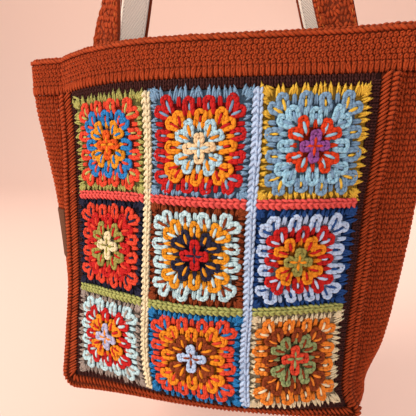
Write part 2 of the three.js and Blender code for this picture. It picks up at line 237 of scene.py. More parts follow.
def edge_path(inset, top, radius, step=3.0):
    """A panel's edge from the left rim round the base to the right rim: rows of u, t, out_u and out_t."""
    side = HALF - inset
    bottom = PANEL_HEIGHT - inset
    straight = np.linspace(top, bottom - radius, max(2, round((bottom - radius - top) / step)))
    path = [(-side, t, -1.0, 0.0) for t in straight[:-1]]
    arcs = max(3, round(radius * QUARTER / step))
    for angle in np.linspace(0, QUARTER, arcs + 1)[:-1]:
        out_u, out_t = -math.cos(angle), math.sin(angle)
        path.append((-side + radius + radius * out_u, bottom - radius + radius * out_t, out_u, out_t))
    level = np.linspace(-side + radius, 0, max(2, round((side - radius) / step)))
    path += [(u, bottom, 0.0, 1.0) for u in level]
    mirrored = [(-u, t, -out_u, out_t) for u, t, out_u, out_t in reversed(path[:-1])]
    return np.array(path + mirrored)


def gusset_point(place, turn, setback=SEAM_SETBACK + GAP):
    """A point of the strip between the panels: turn is -1 at the front seam and 1 at the back seam."""
    u, t, out_u, out_t = place
    front, back = panel_surface(-1, u, t), panel_surface(1, u, t)
    halfway = (back - front) / 2
    length = np.linalg.norm(halfway, axis=-1)
    facing = np.abs(np.sum(panel_normal(-1, u, t) * halfway, axis=-1) / length)
    spread = length - setback * (1 + (1 / facing - 1) * out_t)
    row = section_at(t)
    fold = np.where(u < 0, row["left_fold"], row["right_fold"]) * GUSSET_DEPTH * np.abs(out_u)
    power = 1 + (spread / (GUSSET_DEPTH / 2)) ** 2
    along = np.sin(QUARTER * turn) * spread / length
    out = fold * np.abs(np.cos(QUARTER * turn)) ** power
    return (front + back) / 2 + halfway * along[..., None] + stacked(out_u * out, 0.0, -out_t * out)


class Surface:
    """A grid of points over two lengths, a and b. place() carries (a, b, rise) to space by interpolation."""

    def __init__(self, a, b, points, turned=1):
        self.a, self.b, self.points, self.turned = np.asarray(a), np.asarray(b), points, turned
        along_a = np.gradient(points, axis=0)
        along_b = np.gradient(points, axis=1)
        self.normals = unit(np.cross(along_a, along_b) * turned)

    def place(self, flat):
        a, b, rise = flat[..., 0], flat[..., 1], flat[..., 2]
        i = np.clip(np.searchsorted(self.a, a, side="right") - 1, 0, len(self.a) - 2)
        j = np.clip(np.searchsorted(self.b, b, side="right") - 1, 0, len(self.b) - 2)
        p = ((a - self.a[i]) / (self.a[i + 1] - self.a[i]))[..., None]
        q = ((b - self.b[j]) / (self.b[j + 1] - self.b[j]))[..., None]

        def mixed(grid):
            low = grid[i, j] * (1 - q) + grid[i, j + 1] * q
            high = grid[i + 1, j] * (1 - q) + grid[i + 1, j + 1] * q
            return low * (1 - p) + high * p

        return mixed(self.points) + unit(mixed(self.normals)) * rise[..., None]


def panel_sheet(side):
    """The front or back panel as a sheet: a runs across it and b down from its top."""
    u = np.linspace(-HALF - SHEET_MARGIN, HALF + SHEET_MARGIN, 133)
    t = np.linspace(-SHEET_MARGIN, PANEL_HEIGHT + SHEET_MARGIN, 137)
    return Surface(u, t, panel_surface(side, *np.meshgrid(u, t, indexing="ij")), turned=side)


def evened(lines, count):
    """Each line of points, spaced evenly along its length."""
    result = []
    for line in lines:
        lengths = lengths_along(line)
        wanted = np.linspace(0, lengths[-1], count)
        result.append(stacked(*(np.interp(wanted, lengths, values) for values in line.T)))
    return np.array(result)


def lengths_along(points):
    """The length along a line at each of its points."""
    return np.concatenate([[0], np.cumsum(np.linalg.norm(np.diff(points, axis=0), axis=1))])


def strip_sheet():
    """The gussets and the base as one sheet: a runs round the edge, b from the front to the back seam."""
    path = edge_path(0, RIM_HEIGHT + GAP, CORNER_RADIUS)
    b = np.linspace(0, GUSSET_DEPTH, 37)
    points = evened(gusset_point(path.T[:, :, None], np.linspace(-1, 1, 61)), len(b))
    a = lengths_along(path[:, :2])
    return Surface(a, b, points, turned=-1), path, a


def rim_sheet():
    """The rim as one ring, from the middle of the back: a runs round it and b down from its top."""
    b = np.linspace(-RIM_MARGIN, RIM_HEIGHT + RIM_MARGIN, 15)

    def flat_part(side, first, last, count):
        return [panel_surface(side, u, b) for u in np.linspace(first, last, count)]

    def fold(hand):
        place = (np.full(len(b), hand * HALF), b, hand, 0.0)
        return [gusset_point(place, turn, 0) for turn in np.linspace(hand, -hand, 25)]

    stretches = (flat_part(1, 0, HALF, 63), fold(1), flat_part(-1, HALF, -HALF, 125), fold(-1))
    columns = [column for stretch in stretches for column in stretch[:-1]]
    points = np.array(columns + flat_part(1, -HALF, 0, 63))
    return Surface(lengths_along(points[:, len(b) // 2]), b, points)


def seam_sheet(side):
    """A seam's tube: a runs along it and b round it, from the face of its panel and outward."""
    path = edge_path(0, RIM_HEIGHT + 2 * GAP, CORNER_RADIUS)
    centres = panel_surface(side, path[:, 0], path[:, 1])
    tangent = unit(np.gradient(centres, axis=0))
    lift = square_to(tangent, stacked(path[:, 2], 0.0, -path[:, 3]))
    face = np.cross(tangent, lift) * side
    angles = np.linspace(0, 4 * QUARTER, 25)
    ring = np.cos(angles)[:, None] * face[:, None] + np.sin(angles)[:, None] * lift[:, None]
    points = centres[:, None] + SEAM_RADIUS * ring
    return Surface(lengths_along(centres), SEAM_RADIUS * angles, points, turned=side)


def strap_leg(side, hand):
    """Half of a strap's middle sheet, from its tail up to the middle of the arch, as rows across it."""
    u = STRAP_SHIFT[side] + hand * STRAP_SPACING[side] / 2
    depth = WALL + STRAP_CLEARANCE + STRAP_THICKNESS / 2

    def tail(t):
        return panels[side].place(stacked(u - side * hand * STRAP_ACROSS, t, -depth))

    foot = panels[side].place(np.array([u, 0.0, -depth]))
    lift = WEBBING_THICKNESS + GAP + STRAP_THICKNESS / 2
    top = np.array([0, side * (STRAP_WIDTH + STRAP_THICKNESS) / 2, lift])
    above = foot + np.array([-hand * STRAP_LEAN, 0, 1]) * STRAP_RISE / 2
    beside = top + np.array([hand * ARCH_REACH, 0, 0])
    s = np.linspace(0, 1, 241)[:, None]
    weights = ((1 - s) ** 3, 3 * s * (1 - s) ** 2, 3 * s ** 2 * (1 - s), s ** 3)
    curve = sum(weight * control for weight, control in zip(weights, (foot, above, beside, top)))
    share = np.linspace(0, 1, 81)[:, None]
    centres = evened([curve], len(share))[0]
    tangent = unit(np.gradient(centres, axis=0)) * -hand
    face_out = panel_normal(side, np.array(u), np.array(0.0))
    arch_out = np.cross([0, -1.0, 0], tangent)
    turned = smoothstep(share, 0.1, 1)
    out = square_to(tangent, face_out * (1 - turned) + arch_out * turned)
    if side < 0 and hand < 0:
        turn = -math.radians(STRAP_TURN) * (smoothstep(share, 0, 0.2) - smoothstep(share, 0.3, 0.9))
        out = out * np.cos(turn) + np.cross(tangent, out) * np.sin(turn)
    free = centres[:, None] + STRAP_ACROSS[:, None] * np.cross(out, tangent)[:, None]
    fading = np.clip(1 - share / 0.07, 0, 1)[..., None]
    free = free + (tail(0.0) - free[0]) * fading
    return np.concatenate([[tail(t) for t in np.linspace(STRAP_TAIL, 0, 9)[:-1]], free])


def strap_sheet(side):
    """A whole strap's middle sheet: a runs from one tail to the other and b across it."""
    points = np.concatenate([strap_leg(side, -1), strap_leg(side, 1)[:-1][::-1]])
    return Surface(lengths_along(points[:, len(STRAP_ACROSS) // 2]), STRAP_ACROSS, points)


panels = {side: panel_sheet(side) for side in (-1, 1)}


def quads(grid):
    """The four-cornered faces of a grid of values."""
    return np.stack([grid[:-1, :-1], grid[1:, :-1], grid[1:, 1:], grid[:-1, 1:]], axis=-1).reshape(-1, 4)


def fans(grid, first, last):
    """The triangles of a grid's two ends, from the value of the tip beyond each."""
    near, far = grid[:, 0], grid[:, -1]
    return np.concatenate([stacked(first, near[1:], near[:-1]), stacked(last, far[:-1], far[1:])])


def topology(rings, sides):
    """A strand's quads, then its tips' triangles: their corners, each corner's ring and its share round."""
    turns, ring_of = np.meshgrid(np.arange(sides + 1), np.arange(1, rings + 1), indexing="ij")
    numbers = 1 + (ring_of - 1) * sides + turns % sides
    turns = turns / sides
    middles = (np.arange(sides) + 0.5) / sides
    return (
        (quads(numbers), quads(ring_of), quads(turns)),
        (fans(numbers, 0, rings * sides + 1), fans(ring_of, 0, rings + 1), fans(turns, middles, middles)),
    )


class Piece:
    """Gathers strands and shells over one sheet into one mesh."""

    def __init__(self, name, sheet, seed, *materials):
        self.name, self.sheet, self.materials = name, sheet, materials
        self.random = np.random.default_rng(seed)
        self.count = 0
        self.points, self.tones, self.faces = [], [], []

    def keep(self, points, tones, faces):
        """faces is [(corners, uvs, material)] with corners counted from the first of the points."""
        self.points.append(points.reshape(-1, 3))
        self.tones.append(tones.reshape(-1))
        order = slice(None, None, self.sheet.turned)
        for corners, uvs, material in faces:
            slots = np.broadcast_to(material, len(corners))
            self.faces.append((corners[:, order] + self.count, uvs[:, order], slots))
        self.count += points.size // 3

    def strands(self, path, radius, material=0, tone=1.0, sides=4, tip_tone=0.6, point=0.0):
        """One tapered strand for each row of path, which holds (a, b, rise) points in millimetres. point is
        how much thinner it is at its far end."""
        path = np.asarray(path, float)
        count, rings = path.shape[0], path.shape[1] - 2
        share = np.linspace(0, 1, rings + 2)[1:-1]
        shade = np.sin(math.pi * share)
        profile = shade ** TAPER * (1 - point * share)
        radius = radius * (1 + RADIUS_SPREAD * self.random.standard_normal(count))
        tangent = unit(path[:, 2:] - path[:, :-2])
        sideways = unit(np.cross(tangent, [0.0, 0.0, 1.0]) + 1e-6)
        upward = np.cross(sideways, tangent)
        angles = 2 * math.pi * np.arange(sides)[:, None] / sides
        ring = np.cos(angles) * sideways[:, :, None] + FLATNESS * np.sin(angles) * upward[:, :, None]
        ring = path[:, 1:-1, None] + (radius[:, None] * profile)[..., None, None] * ring
        flat = np.concatenate([path[:, :1], ring.reshape(count, -1, 3), path[:, -1:]], axis=1)
        tones = np.clip(tone * (1 + TONE_SPREAD * self.random.standard_normal(count)), 0, TONE_LIMIT)
        # Painted shade: each strand is darker towards both ends, where it dips in among the others.
        along = np.concatenate([[tip_tone], np.repeat(tip_tone + (1 - tip_tone) * shade, sides), [tip_tone]])
        lengths = np.linalg.norm(np.diff(path, axis=1), axis=2).cumsum(axis=1)
        lengths = np.pad(lengths, ((0, 0), (1, 0))) + self.random.uniform(0, TWIST_SHIFT, (count, 1))
        first = flat.shape[1] * np.arange(count)[:, None, None]
        faces = []
        for corners, ring_of, turns in topology(rings, sides):
            every = (corners + first).reshape(-1, corners.shape[1])
            faces.append((every, stacked(lengths[:, ring_of], turns).reshape(every.shape + (2,)), material))
        self.keep(self.sheet.place(flat), tones[:, None] * along, faces)

    def shell(self, a, b, low, high, material=0, tone=0.4, painted_shade_back_tone=0.8, flat_at=None, ring=False):
        """A closed slab between two rises. flat_at turns its (a, b) into the sheet's, for curved edges."""
        grid_a, grid_b = np.meshgrid(a, b, indexing="ij")
        if flat_at:
            grid_a, grid_b = flat_at(grid_a, grid_b)
        rises = (rise(grid_a, grid_b) if callable(rise) else rise for rise in (high, low))
        flat = np.array([stacked(grid_a, grid_b, rise) for rise in rises])
        index = np.arange(flat.size // 3).reshape(flat.shape[:3])
        if ring:
            index[:, -1] = index[:, 0]
        grids = [index[0], index[1].T, index[:, :, 0], index[:, :, -1].T]
        if not ring:
            grids += [index[:, 0].T, index[:, -1]]
        corners = np.concatenate([quads(grid) for grid in grids])
        points = self.sheet.place(flat)
        around = flat.reshape(-1, 3)[corners]
        if callable(material):
            material = material(*around.mean(axis=1).T[:2])
        # Painted shade: the top face, which shows in the gaps between stitches, and the back face mostly get
        # low brightness, darker than the yarn.
        self.keep(points, np.repeat([tone, painted_shade_back_tone], grid_a.size), [(corners, around[..., :2], material)])

    def tube(self, steps, angles, rise, tone):
        """A tube with flat caps round a sheet whose b comes back to its start."""
        grid_a, grid_b = np.meshgrid(steps, angles[:-1], indexing="ij")
        flat = stacked(grid_a, grid_b, rise)
        points = self.sheet.place(flat)
        index = np.arange(grid_a.size).reshape(grid_a.shape)
        index = np.hstack([index, index[:, :1]])
        caps = fans(index[[-1, 0]].T, grid_a.size + 1, grid_a.size)
        every = np.concatenate([points.reshape(-1, 3), points[[0, -1]].mean(axis=1)])
        uv = np.concatenate([flat.reshape(-1, 3)[:, :2], np.zeros((2, 2))])
        self.keep(every, np.full(len(every), tone), [(each, uv[each], 0) for each in (quads(index), caps)])

    def stitches(self, a, b, size, legs, radius, angle=0.0, rise=0.0, jitter=0.15, points=5, **looks):
        """The same legs at each centre. A leg is (x, y, z) to (x, y, z) in shares of size, z in millimetres,
        and a bow. x runs across and y along the direction of angle, which is 0 down b."""
        every = np.broadcast_arrays(a, b, angle, rise, *size)
        a, b, angle, rise, width, height = (values.reshape(-1, 1) for values in every)
        share = np.linspace(0, 1, points)
        paths = []
        for start, end, bow in legs:
            line = np.array(start) + (np.array(end) - np.array(start)) * share[:, None]
            x = line[:, 0] * width + self.random.normal(0, jitter, a.shape)
            y = line[:, 1] * height + self.random.normal(0, jitter, a.shape)
            z = line[:, 2] + bow * np.sin(math.pi * share) + rise
            along_a = np.cos(angle) * x - np.sin(angle) * y
            along_b = np.cos(angle) * y + np.sin(angle) * x
            paths.append(stacked(a + along_a, b + along_b, z))
        self.strands(np.concatenate(paths), radius, **looks)

    def finish(self, slot, *nodes):
        """Makes the object, gives it its yarn and its place in the frame."""
        mesh = bpy.data.meshes.new(self.name)
        corners, uvs, slots = zip(*self.faces)
        totals = np.concatenate([np.full(len(each), each.shape[1]) for each in corners])
        numbers = np.concatenate([each.ravel() for each in corners])
        mesh.vertices.add(self.count)
        mesh.loops.add(len(numbers))
        mesh.polygons.add(len(totals))
        for items, key, values, kind in (
            (mesh.vertices, "co", MM * np.concatenate(self.points), np.float32),
            (mesh.loops, "vertex_index", numbers, np.int32),
            (mesh.polygons, "loop_start", np.cumsum(totals) - totals, np.int32),
            (mesh.polygons, "loop_total", totals, np.int32),
            (mesh.polygons, "material_index", np.concatenate(slots), np.int32),
            (mesh.polygons, "use_smooth", np.ones(len(totals)), bool),
        ):
            items.foreach_set(key, values.astype(kind).ravel())
        mesh.update(calc_edges=True)
        flat_uvs = np.concatenate([each.ravel() for each in uvs])
        mesh.uv_layers.new(name="yarn").data.foreach_set("uv", flat_uvs.astype(np.float32))
        # Each point's brightness: its strand's own random tone together with painted shade at ends, gaps and
        # back faces.
        tone = mesh.attributes.new("tone", "FLOAT", "POINT")
        tone.data.foreach_set("value", np.concatenate(self.tones).astype(np.float32))
        for name in self.materials:
            mesh.materials.append(MATERIALS[name])
        made = bpy.data.objects.new(self.name, mesh)
        bpy.context.scene.collection.objects.link(made)
        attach(made, "root")
        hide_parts(*nodes)


class Nodes:
    """Short calls for a material's nodes."""

    def __init__(self, name, constants):
        self.material = bpy.data.materials.new(name)
        self.material.use_nodes = True
        self.tree = self.material.node_tree
        self.shader = self.tree.nodes["Principled BSDF"]
        for key, value in constants.items():
            self.shader.inputs[key].default_value = value

    def add(self, kind, **values):
        node = self.tree.nodes.new(kind)
        for key, value in values.items():
            setattr(node, key, value)
        return node

    def join(self, source, target):
        self.tree.links.new(source, target)

    def math(self, operation, first, second=None):
        node = self.add("ShaderNodeMath", operation=operation)
        for socket, value in zip(node.inputs, (first, second)):
            if isinstance(value, (int, float)):
                socket.default_value = value
            elif value is not None:
                self.join(value, socket)
        return node.outputs[0]

    def scaled(self, value, factor, offset=0.0):
        return self.math("ADD", self.math("MULTIPLY", value, factor), offset)

    def wave(self, value, per_unit):
        """Rounded ribs, from 0 to 1."""
        return self.math("ABSOLUTE", self.math("SINE", self.math("MULTIPLY", value, math.pi * per_unit)))

    def flat_place(self):
        """The two lengths over a sheet or, on a strand, the length along it and the share round it."""
        split = self.add("ShaderNodeSeparateXYZ")
        self.join(self.add("ShaderNodeUVMap", uv_map="yarn").outputs["UV"], split.inputs[0])
        return split.outputs["X"], split.outputs["Y"]

    def noise(self, scale, detail=2.0):
        node = self.add("ShaderNodeTexNoise")
        node.inputs["Scale"].default_value = scale
        node.inputs["Detail"].default_value = detail
        self.join(self.add("ShaderNodeTexCoord").outputs["Object"], node.inputs["Vector"])
        return node.outputs["Fac"]

    def bump(self, height, distance, strength, normal=None):
        node = self.add("ShaderNodeBump")
        node.inputs["Distance"].default_value = distance
        node.inputs["Strength"].default_value = strength
        self.join(height, node.inputs["Height"])
        if normal is not None:
            self.join(normal, node.inputs["Normal"])
        return node.outputs["Normal"]

    def finish(self, light, shade, lit, normal):
        """Colours the shader between shade and lit, and gives back the material."""
        mix = self.add("ShaderNodeMix", data_type="RGBA")
        mix.inputs[6].default_value = linear(shade)
        mix.inputs[7].default_value = linear(lit)
        self.join(light, mix.inputs[0])
        self.join(mix.outputs[2], self.shader.inputs["Base Color"])
        self.join(normal, self.shader.inputs["Normal"])
        return self.material


def linear(srgb):
    """An sRGB colour, from 0 to 255, as linear light."""
    shares = [value / 255 for value in srgb]
    return [s / 12.92 if s <= 0.04045 else ((s + 0.055) / 1.055) ** 2.4 for s in shares] + [1.0]


def yarn_material(name, lit, shade):
    """Plied yarn: the twist runs slantwise over a strand, and tone darkens its ends and the shell below with
    painted shade, as the grooves between its plies are painted darker.
    """
    nodes = Nodes("yarn_" + name, {
        "Roughness": 0.88,
        "Sheen Weight": 0.25,
        "Sheen Roughness": 0.4,
        "Sheen Tint": linear(lit),
        "Specular IOR Level": 0.2,
    })
    along, around = nodes.flat_place()
    wound = nodes.math("ADD", nodes.scaled(along, PLIES / TWIST_LENGTH), nodes.scaled(around, PLIES))
    ply = nodes.wave(wound, 1)
    fibre = nodes.noise(2600.0)
    blotch = nodes.noise(70.0)
    light = nodes.add("ShaderNodeAttribute", attribute_name="tone").outputs["Fac"]
    # Painted shade in the plies' grooves; the fine and the coarse noise are the yarn's own uneven colour.
    for value, factor, offset in ((ply, 0.4, 0.76), (fibre, 0.3, 0.85), (blotch, 0.24, 0.88)):
        light = nodes.math("MULTIPLY", light, nodes.scaled(value, factor, offset))
    normal = nodes.bump(ply, 0.0005, 0.9, nodes.bump(fibre, 0.0002, 0.5))
    return nodes.finish(light, [value * SHADE_DEPTH for value in shade], lit, normal)


def webbing_material():
    """Cotton tape: a fine twill over the whole width, brighter at its selvedges. Its colour runs from a lit
    cream to a greyer painted shade, which the twill's grooves lean towards.
    """
    nodes = Nodes("webbing_twill", {"Roughness": 0.85, "Specular IOR Level": 0.25})
    x, y = nodes.flat_place()
    rib = nodes.wave(nodes.math("ADD", nodes.scaled(x, 0.3), nodes.scaled(y, 0.5)), 1)
    weave = nodes.math("MULTIPLY", rib, nodes.scaled(nodes.wave(x, 0.7), 0.5, 0.5))
    reach = nodes.math("SUBTRACT", nodes.math("ABSOLUTE", y), WEBBING_WIDTH / 2 - SELVEDGE)
    selvedge = nodes.math("MINIMUM", nodes.math("MAXIMUM", nodes.scaled(reach, 1.4), 0.0), 1.0)
    woven = nodes.math("ADD", nodes.scaled(weave, 0.6, 0.24), nodes.scaled(selvedge, 0.4))
    light = nodes.math("MULTIPLY", woven, nodes.scaled(nodes.noise(2200.0), 0.3, 0.85))
    return nodes.finish(light, (146, 132, 128), (250, 234, 218), nodes.bump(weave, 0.0005, 1.0))


def patch_material():
    """The patch: flat brushed cloth with faint ribs, whose grooves are painted darker as shade."""
    nodes = Nodes("patch_cloth", {"Roughness": 0.95, "Specular IOR Level": 0.15})
    rib = nodes.wave(nodes.flat_place()[0], 1 / 2.6)
    fibre = nodes.noise(1800.0, 4.0)
    mottled = nodes.scaled(nodes.math("ADD", fibre, nodes.noise(60.0)), 0.25, 0.75)
    light = nodes.math("MULTIPLY", nodes.scaled(rib, 0.18, 0.82), mottled)
    normal = nodes.bump(rib, 0.0004, 0.6, nodes.bump(fibre, 0.0002, 0.4))
    return nodes.finish(light, (40, 22, 14), (98, 61, 42), normal)


# Each yarn's colour in the light and in its shade, as sRGB
YARNS = {
    "rust": ((184, 73, 30), (62, 18, 8)),
    "dark_brown": ((78, 38, 33), (30, 12, 11)),
    "orange_red": ((234, 68, 26), (112, 14, 6)),
    "deep_orange": ((238, 96, 30), (118, 26, 6)),
    "amber": ((242, 158, 34), (126, 52, 6)),
    "amber_orange": ((252, 154, 34), (128, 46, 4)),
    "orange": ((255, 146, 50), (138, 48, 8)),
    "golden": ((252, 202, 72), (140, 84, 16)),
    "coral_red": ((238, 78, 50), (116, 16, 12)),
    "crimson": ((204, 32, 30), (80, 4, 8)),
    "rust_brown": ((146, 64, 28), (52, 14, 4)),
    "cream": ((250, 232, 186), (128, 94, 56)),
    "cream_peach": ((252, 218, 168), (126, 78, 40)),
    "olive": ((166, 158, 80), (66, 58, 18)),
    "sage": ((156, 170, 112), (58, 68, 34)),
    "olive_green": ((188, 184, 104), (78, 70, 24)),
    "mint": ((206, 236, 240), (74, 126, 146)),
    "pale_aqua": ((190, 226, 238), (66, 110, 130)),
    "pale_sky": ((168, 216, 238), (58, 106, 136)),
    "cerulean": ((46, 134, 202), (8, 44, 84)),
    "bright_blue": ((46, 136, 200), (8, 44, 86)),
    "slate_blue": ((136, 172, 202), (40, 64, 90)),
    "royal_blue": ((40, 80, 144), (8, 20, 48)),
    "dark_navy": ((40, 40, 64), (10, 10, 18)),
    "periwinkle": ((202, 224, 254), (104, 122, 166)),
    "lavender": ((202, 202, 232), (84, 84, 128)),
    "mauve": ((160, 86, 160), (62, 24, 66)),
    "taupe": ((176, 158, 146), (66, 52, 46)),
    "coral": ((246, 96, 88), (128, 22, 26)),
    "ridge_cream": ((255, 238, 196), (150, 108, 62)),
    "ridge_olive": ((182, 184, 106), (76, 74, 28)),
    "thread": ((226, 130, 60), (120, 50, 16)),
}
MATERIALS = {name: yarn_material(name, lit, shade) for name, (lit, shade) in YARNS.items()}
MATERIALS["webbing"] = webbing_material()
MATERIALS["patch"] = patch_material()

# The five rounds of each square, from its middle out
ROUNDS = [
    [
        ("deep_orange", "amber", "cerulean", "coral_red", "olive_green"),
        ("cream_peach", "pale_aqua", "amber_orange", "crimson", "slate_blue"),
        ("mauve", "orange_red", "pale_sky", "slate_blue", "golden"),
    ],
    [
        ("cream", "olive", "crimson", "coral_red", "dark_navy"),
        ("crimson", "dark_navy", "amber", "mint", "rust_brown"),
        ("olive", "amber_orange", "crimson", "periwinkle", "royal_blue"),
    ],
    [
        ("lavender", "amber_orange", "crimson", "mint", "taupe"),
        ("periwinkle", "rust_brown", "amber_orange", "coral_red", "bright_blue"),
        ("coral_red", "sage", "rust_brown", "orange", "ridge_cream"),
    ],
]
SQUARE_SLOTS = [["olive", "denim", "yellow"], ["navy", "chestnut", "royal"], ["grey", "sky", "peach"]]

# Stitch shapes: each leg from (x, y, z) to (x, y, z), in shares of the stitch, and its bow in millimetres
VEE = [((-0.3, -0.6, -0.5), (-0.13, 0.6, 0.2), 0.4), ((0.3, -0.6, -0.5), (0.13, 0.6, 0.2), 0.4)]
KNOT = [((-0.4, -0.6, -0.2), (0.08, 0.6, 0.1), 0.5), ((0.34, -0.6, -0.5), (0.18, 0.6, 0.1), 0.4)]
LINK = [((-0.48, -0.75, -0.5), (-0.1, 0.6, 0.2), 0.6), ((0.48, -0.75, -0.5), (0.1, 0.6, 0.2), 0.6)]
POST = [((-0.32, -0.52, -0.3), (-0.04, 0.5, 0.1), 0.5), ((0.26, -0.5, -0.3), (0.2, 0.44, 0), 0.4)]
WRAP = [((-0.36, -0.3, 0.2), (0.34, -0.02, 0.2), 0.6)]
SLANT = [((-0.5, -0.55, -0.5), (0.5, 0.55, -0.5), 1.1)]
ROPE = [((-0.5, -0.55, -0.8), (0.5, 0.55, 0), 0.8)]
BAND = [((-0.5, 0.5, 2.2), (0.5, -0.5, 0.2), 0.7)]
ARM = [((0.22, -0.7, 0.2), (-0.54, 0.5, -1.0), 1.2)]
DASH = [((0, -0.36, 0), (0, 0.36, 0), 0.25)]
DOT = [((0, -0.2, 0), (0, 0.2, 0), -0.15)]

# A granny square's layout in millimetres from its middle. The petals of each round: where they start, their
# length and half-width along the middle of their yarn, and their rise
PETAL_PITCH = 20.4
PETALS = [(1.0, 12.8, 3.1, 1.3), (10.2, 13.3, 3.3, 1.0), (19.8, 13.8, 3.8, 0.7), (30.0, 14.2, 3.7, 0.4)]
# The strands of a petal's links, of the next yarn inside narrow and wide petals and of the spikes between:
# radius, how many yarns further out, how bright their painted shade leaves the tips, and how many sides
PETAL_STRANDS = ((1.8, 0, 0.6, 5), (1.3, 1, 0.75, 5), (1.75, 1, 0.75, 5), (1.45, 0, 0.65, 4))
PETAL_LINK = 5.0
PETAL_SQUARED = 0.7
RUN_OUT = 5.0  # how far a petal's ends run on under the round inside it
CORNER_LEAN = 7
ROUND_REACH = (5.0, 16.0, 28.0, 40.0)  # between a round's petals the next round's yarn shows
TEETH = 18
TOOTH_TIP = 52.0
TOOTH_OVERLAP = 3.6  # onto the dark frame
TOOTH_SWING = 24
FAN_START = 43.5
# How far the middle of each square's pattern lies from the square's own middle
PULLS = [
    [(0, 0), (1.3, 3.8), (-1.0, 2.5)],
    [(-1.2, 1.4), (1.6, -1.0), (-6.5, 2.8)],
    [(-1.5, -1.0), (0, 0), (-1.4, 1.0)],
]
SIX = np.linspace(0, 1, 6)
BOW = np.sin(math.pi * SIX)


def petal_links(length, half_width, waist):
    """One petal: linked strands round a squared horseshoe that is open at its inner end, as (x, y, rise)."""
    turns = np.linspace(0, math.pi, 33)
    arc = stacked(-half_width * np.sign(np.cos(turns)) * np.abs(np.cos(turns)) ** PETAL_SQUARED,
                  length - half_width * (1 - np.sin(turns) ** PETAL_SQUARED))
    foot = half_width * waist
    line = np.concatenate([[(-foot, -RUN_OUT), (-foot, 0.0)], arc, [(foot, 0.0), (foot, -RUN_OUT)]])
    lengths = lengths_along(line)
    ahead = unit(np.gradient(line, axis=0))
    paths = []
    for centre in RUN_OUT + spots(lengths[-1] - 2 * RUN_OUT, PETAL_LINK):
        at = centre + (SIX - 0.5) * 1.5 * PETAL_LINK
        x, y, way_x, way_y = (np.interp(at, lengths, values) for values in (*line.T, *ahead.T))
        rise = -0.6 + 0.9 * SIX + 0.6 * BOW - 1.2 * np.clip(1 - y / 4, 0, 1)
        for hand in (-1, 1):
            off = hand * (1.65 - 1.3 * SIX)
            paths.append(stacked(x - way_y * off, y + way_x * off, rise + 0.15 * hand))
    return np.array(paths)


def petal_round(random, k):
    """One side's petals of round k, in x, y and rise: their links, the next yarn inside narrow and wide
    petals, and the spikes between petals."""
    start, length, half_width, lift = PETALS[k]
    links, inside, wide_inside, spikes = [], [], [], []
    for i in range(k + 1):
        offset = (i - k / 2) * PETAL_PITCH
        corner = k > 0 and i in (0, k)
        lean = math.radians(random.normal(0, 3.5) + (CORNER_LEAN * np.sign(offset) if corner else 0))
        inner = start + random.normal(0, 0.5)
        scale = np.array([random.normal(1, 0.06), random.normal(1, 0.05), 1])

        def placed(paths):
            x, y, rise = np.moveaxis(np.asarray(paths, float) * scale, -1, 0)
            return stacked(offset + x * math.cos(lean) + y * math.sin(lean),
                           inner + y * math.cos(lean) - x * math.sin(lean), rise + lift)

        loop = petal_links(length, half_width, 0.4 if k == 0 else 1.0)
        links.extend(placed(loop + random.normal(0, 0.28, (len(loop), 1, 3))))
        if k == 0:
            first, last, shift = -0.8, 9.6, 0.0
        elif corner:
            first, last, shift = -0.5, 12.2, -np.sign(offset) * np.linspace(2.4, -0.2, 6)
        else:
            first, last, shift = 3.4, 10.6, random.normal(0, 0.4)
        strand = placed(stacked(shift, np.linspace(first, last, 6), -0.1 + 1.1 * BOW))
        (wide_inside if corner or k == 0 else inside).append(strand)
        if i < k:
            between = offset + PETAL_PITCH / 2 + random.normal(0, 0.4)
            reach = np.linspace(inner + length - 9.0, inner + length + 2.6, 6)
            for shift in (-1.2, 1.2):
                spikes.append(stacked(between + shift * (1.1 - 0.7 * SIX), reach, -0.6 + BOW))
    return links, inside, wide_inside, spikes


def tooth(random, along, start, tip, swing):
    """One spike of the outer round: a pointed strand, a shorter one and a knot over both."""
    twist = random.choice((-1, 1))
    reach = np.linspace(start, tip, 6)
    lean = np.sin(swing) * (reach - start)
    short = start + (reach - start) * 0.82
    knot = tip - random.uniform(4.5, 6.0)
    middle = along + np.sin(swing) * (knot - start)
    return [
        stacked(along + lean + twist * (1.7 - 1.9 * SIX), reach, -0.9 + 1.5 * SIX + 0.9 * BOW),
        stacked(along + lean - twist * (1.6 - 0.9 * SIX), short, -0.9 + 0.9 * SIX + 0.8 * BOW),
        stacked(middle + twist * (1.7 - 3.2 * SIX), knot - 1.8 + 3.2 * SIX, 0.5 + 0.8 * BOW),
    ]


def outer_teeth(random, reach_past):
    """One side's teeth and its corner's fan of spikes, in x, y and rise."""
    teeth = []
    for i in range(TEETH):
        along = (i - (TEETH - 1) / 2) * SQUARE_SIDE / TEETH + random.normal(0, 0.5)
        swing = math.radians(random.normal(0, 9) + TOOTH_SWING * (2 * along / SQUARE_SIDE) ** 5)
        tip = TOOTH_TIP + reach_past + random.normal(0, 0.9)
        start = 38.5 + 4.5 * abs(math.cos(math.pi * along / PETAL_PITCH)) + random.normal(0, 0.6)
        teeth += tooth(random, along, start, tip, swing)
    for turn in (-0.42, -0.14, 0.14, 0.42):
        way = QUARTER / 2 + turn
        reach = np.linspace(0, 12.5 - 4 * abs(turn) + random.normal(0, 0.7), 6)
        rise = -0.6 + BOW + 1.3 * SIX
        teeth.append(stacked(FAN_START + reach * math.sin(way), FAN_START + reach * math.cos(way), rise))
    return teeth


def from_middle(x, y, side):
    """A place x along and y out from a square's middle to one of its sides, the top first, as u and t."""
    angle = QUARTER * side
    return x * np.cos(angle) + y * np.sin(angle), x * np.sin(angle) - y * np.cos(angle)


